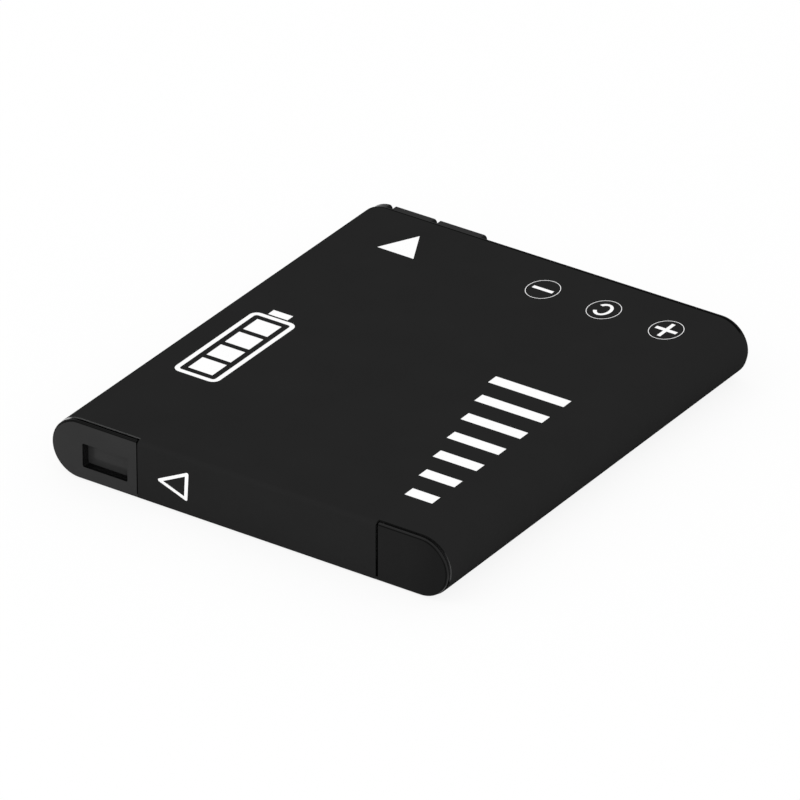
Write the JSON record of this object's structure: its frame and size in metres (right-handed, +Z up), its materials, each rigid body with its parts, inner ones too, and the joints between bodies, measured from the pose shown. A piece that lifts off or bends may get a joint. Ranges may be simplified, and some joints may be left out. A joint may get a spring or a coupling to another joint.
{
  "type": "camera battery",
  "caption": "Slim flat rechargeable battery pack with full-round sides, a wrapped film label, a keyed terminal end with recessed contacts and a keyed bottom cap.",
  "frame": {"origin": "middle of the underside of the whole box, on the surface that the pack lies on", "axes": "+X along the width, +Y along the length towards the contacts, +Z up through the thickness"},
  "size_m": [0.038, 0.0442, 0.0053],
  "materials": {
    "label_film": "printed black polyester film, dead matt",
    "cap_plastic": "black moulded plastic, satin",
    "can_metal": "drawn aluminium can",
    "nickel": "nickel strip",
    "gold_contact": "gold-plated contact",
    "seal_plastic": "moulded sealing washer",
    "insulating_paper": "die-cut insulating paper",
    "fuse_body": "polymer fuse",
    "board": "solder-masked glass-epoxy board",
    "chip_body": "moulded chip package",
    "chip_ceramic": "ceramic chip with tinned ends",
    "tape": "double-sided tape"
  },
  "bodies": {
    "root": {"label_wrap": "label_film", "bottom_cap": "cap_plastic", "terminal_cap": "cap_plastic", "cell": "can_metal", "cell_gasket": "seal_plastic", "cell_rivet": "nickel", "fill_plug": "can_metal", "lid_insulator": "insulating_paper", "clad_plate": "nickel", "positive_strap": "nickel", "negative_strap": "nickel", "resettable_fuse": "fuse_body", "fuse_strap": "nickel", "circuit_board": "board", "protection_chip": "chip_body", "switch_transistors": "chip_body", "chip_resistors": "chip_body", "chip_capacitors": "chip_ceramic", "thermistor": "chip_ceramic", "bottom_tape": "tape", "contact_minus": "gold_contact", "contact_c": "gold_contact", "contact_plus": "gold_contact"}
  },
  "joints": []
}
